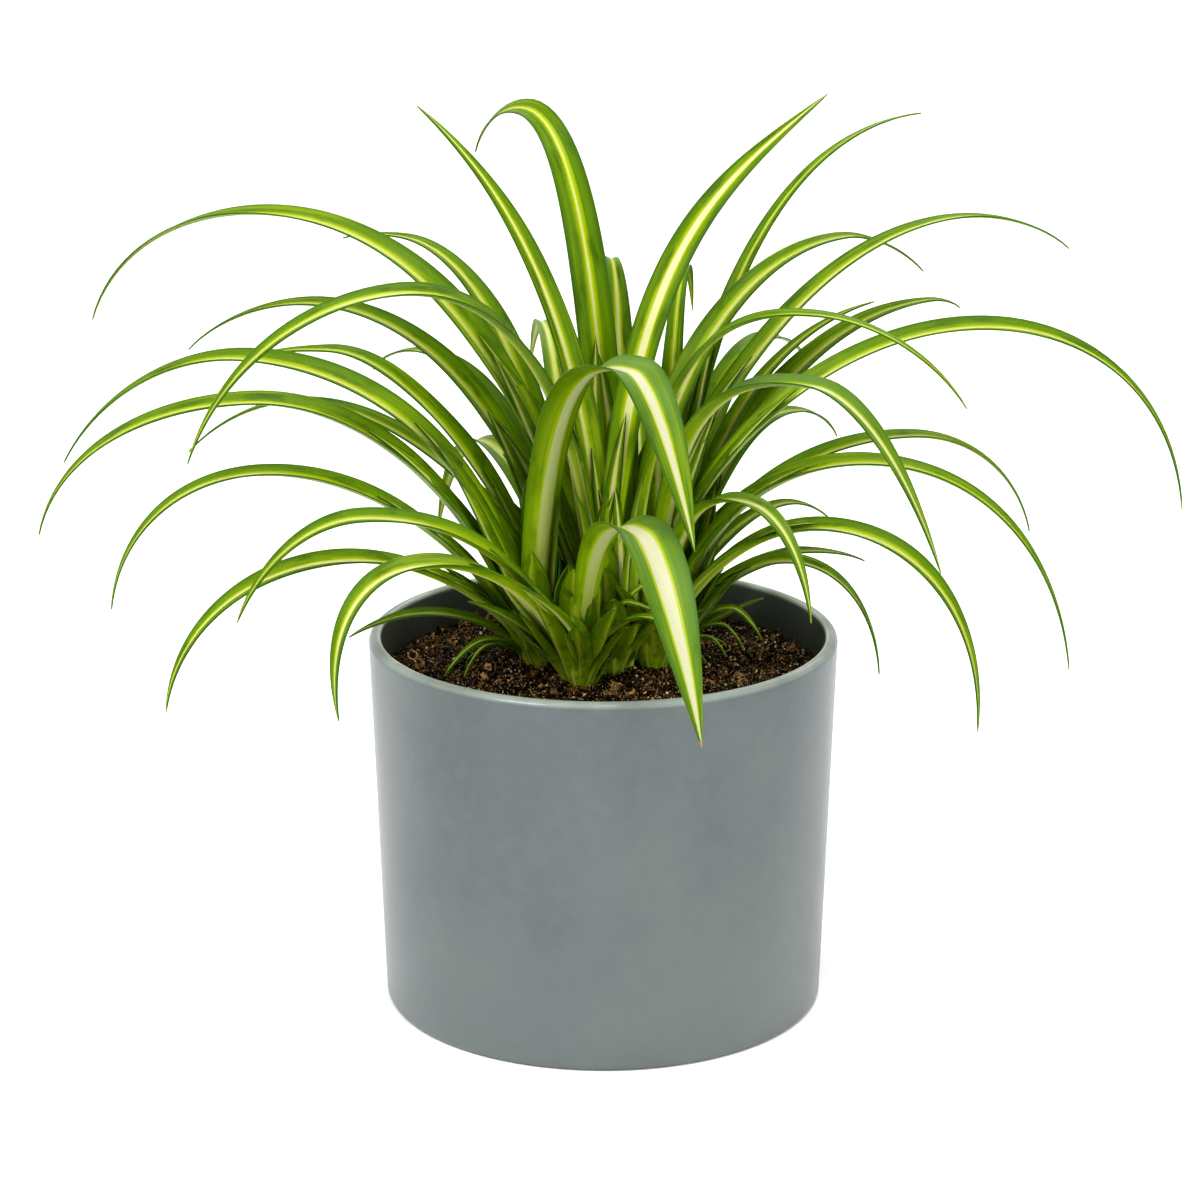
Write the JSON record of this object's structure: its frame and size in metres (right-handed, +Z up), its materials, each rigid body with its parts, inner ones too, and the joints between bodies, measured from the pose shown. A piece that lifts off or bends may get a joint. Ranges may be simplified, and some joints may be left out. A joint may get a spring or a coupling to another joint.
{
  "type": "potted spider plant",
  "caption": "Variegated spider plant with arching striped leaves growing in a plain round cylindrical ceramic pot.",
  "frame": {"origin": "middle of the pot's flat underside", "axes": "+Z up along the pot's axis; -Y towards the plant's front, where the view in the picture was taken from; +X to the right in that view"},
  "size_m": [0.2902, 0.2203, 0.2283],
  "materials": {
    "pot_ceramic": "matt grey glaze",
    "potting_soil": "rough damp soil with bark",
    "pale_sheath": "satin living leaf base",
    "variegated_leaf": "satin living leaf with a cream stripe"
  },
  "bodies": {
    "root": {"pot": "pot_ceramic", "soil": "potting_soil", "shoot_left": "pale_sheath", "shoot_front": "pale_sheath", "shoot_right": "pale_sheath", "shoot_inner": "pale_sheath", "shoot_centre": "pale_sheath", "shoot_back_left": "pale_sheath", "shoot_back_right": "pale_sheath", "leaf_left_06": "variegated_leaf", "leaf_left_07": "variegated_leaf", "leaf_left_09": "variegated_leaf", "leaf_left_11": "variegated_leaf", "leaf_front_01": "variegated_leaf", "leaf_left_10": "variegated_leaf", "leaf_left_12": "variegated_leaf", "leaf_front_02": "variegated_leaf", "leaf_right_08": "variegated_leaf", "leaf_right_10": "variegated_leaf", "leaf_right_11": "variegated_leaf", "leaf_right_12": "variegated_leaf", "leaf_right_14": "variegated_leaf", "leaf_top_03": "variegated_leaf", "leaf_top_01": "variegated_leaf", "leaf_right_05": "variegated_leaf", "leaf_left_01": "variegated_leaf", "leaf_left_03": "variegated_leaf", "leaf_top_02": "variegated_leaf", "leaf_top_04": "variegated_leaf", "leaf_right_02": "variegated_leaf", "leaf_right_03": "variegated_leaf", "leaf_right_07": "variegated_leaf", "leaf_left_02": "variegated_leaf", "leaf_left_04": "variegated_leaf", "leaf_left_05": "variegated_leaf", "leaf_left_08": "variegated_leaf", "leaf_back_01": "variegated_leaf", "leaf_back_02": "variegated_leaf", "leaf_back_03": "variegated_leaf", "leaf_back_04": "variegated_leaf", "leaf_top_05": "variegated_leaf", "leaf_right_01": "variegated_leaf", "leaf_right_04": "variegated_leaf", "leaf_right_06": "variegated_leaf", "leaf_right_09": "variegated_leaf", "leaf_right_15": "variegated_leaf", "leaf_back_05": "variegated_leaf", "leaf_back_06": "variegated_leaf", "leaf_back_07": "variegated_leaf", "leaf_back_08": "variegated_leaf", "leaf_back_09": "variegated_leaf"}
  },
  "joints": []
}
